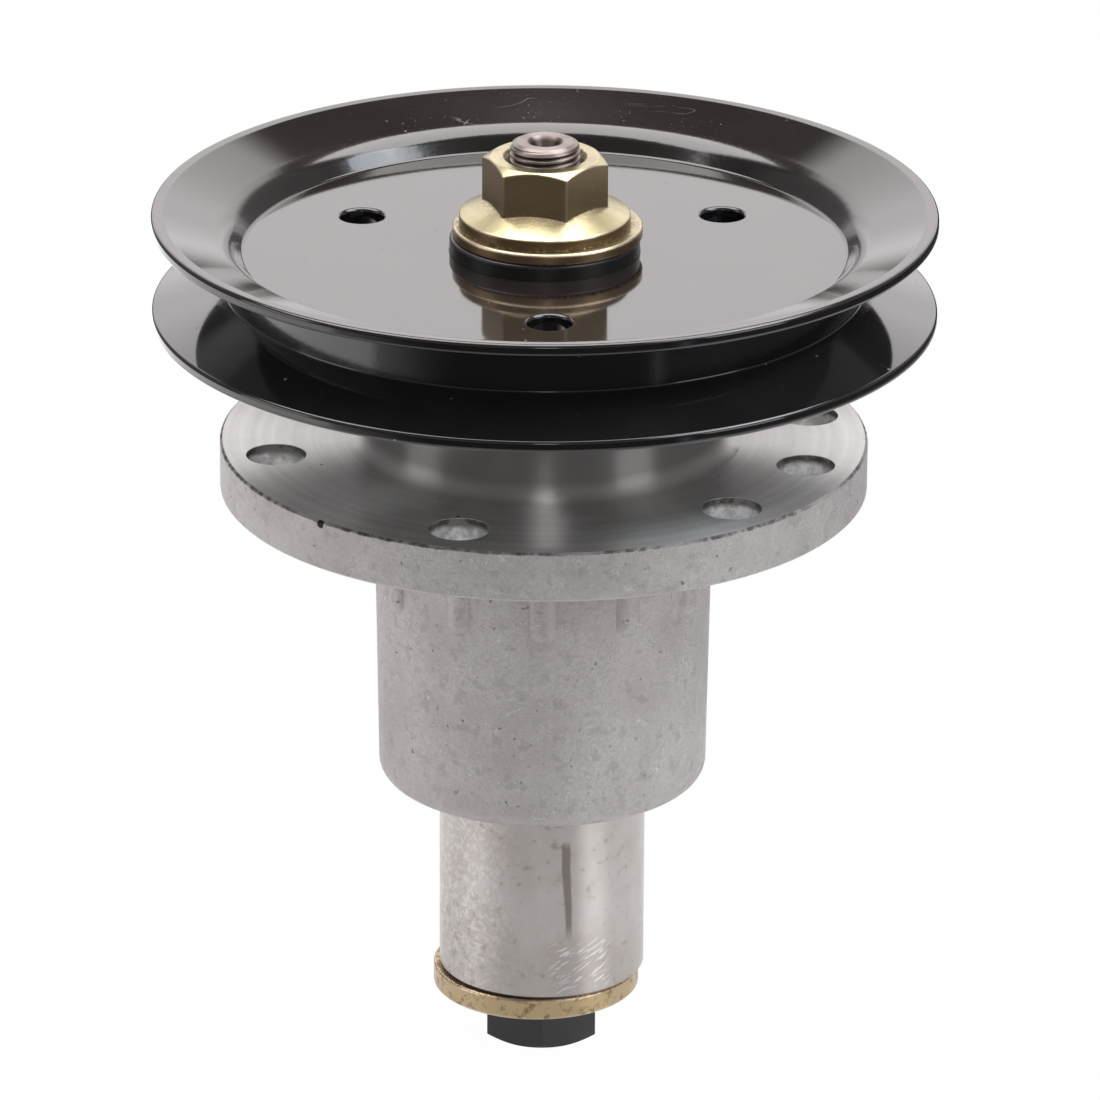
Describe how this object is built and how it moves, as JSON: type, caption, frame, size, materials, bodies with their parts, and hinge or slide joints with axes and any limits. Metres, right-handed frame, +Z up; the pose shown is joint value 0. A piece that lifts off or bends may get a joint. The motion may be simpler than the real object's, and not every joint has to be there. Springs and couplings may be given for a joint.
{
  "type": "mower deck spindle",
  "caption": "Flanged cast spindle housing with a shaft on ball bearings, a V-belt pulley on top and a bolted blade seat below.",
  "frame": {"origin": "on the spindle's axis, in the flange's machined top face, at the centre of its bolt circle", "axes": "+Z up the spindle's axis to the pulley, -Y to the front, where a nut's flat and one web hole face"},
  "size_m": [0.1684, 0.1684, 0.2069],
  "materials": {
    "cast_aluminium": "as cast, grainy, with machined faces",
    "turned_steel": "turned, bare",
    "bearing_steel": "ground",
    "seal_rubber": "moulded",
    "black_paint": "gloss",
    "yellow_zinc": "yellow zinc plated",
    "black_oxide": "satin black"
  },
  "bodies": {
    "housing": {"spindle_housing": "cast_aluminium", "upper_bearing_outer_race": "bearing_steel", "upper_bearing_top_seal": "seal_rubber", "upper_bearing_bottom_seal": "seal_rubber", "lower_bearing_outer_race": "bearing_steel", "lower_bearing_top_seal": "seal_rubber", "lower_bearing_bottom_seal": "seal_rubber"},
    "rotor": {"spindle_shaft": "turned_steel", "bearing_spacer": "turned_steel", "pulley_spacer": "turned_steel", "pulley_hub": "black_paint", "pulley_key": "turned_steel", "pulley_upper_half": "black_paint", "pulley_lower_half": "black_paint", "pulley_washer": "yellow_zinc", "flange_nut": "yellow_zinc", "blade_washer": "yellow_zinc", "blade_bolt": "black_oxide", "upper_bearing_inner_race": "bearing_steel", "lower_bearing_inner_race": "bearing_steel"},
    "upper_ball_set": {"upper_bearing_balls": "bearing_steel", "upper_bearing_ball_cage": "bearing_steel"},
    "lower_ball_set": {"lower_bearing_balls": "bearing_steel", "lower_bearing_ball_cage": "bearing_steel"}
  },
  "joints": [
    {"name": "spindle_spin", "type": "hinge", "parent": "housing", "child": "rotor", "pos_m": [0, 0, 0], "axis": [0, 0, 1], "continuous": true},
    {"name": "upper_ball_orbit", "type": "hinge", "parent": "housing", "child": "upper_ball_set", "pos_m": [0, 0, 0.02], "axis": [0, 0, 1], "continuous": true},
    {"name": "lower_ball_orbit", "type": "hinge", "parent": "housing", "child": "lower_ball_set", "pos_m": [0, 0, -0.0679], "axis": [0, 0, 1], "continuous": true}
  ],
  "couplings": [
    {"joint": "upper_ball_orbit", "follows": "spindle_spin", "ratio": 0.3965},
    {"joint": "lower_ball_orbit", "follows": "spindle_spin", "ratio": 0.3965}
  ]
}
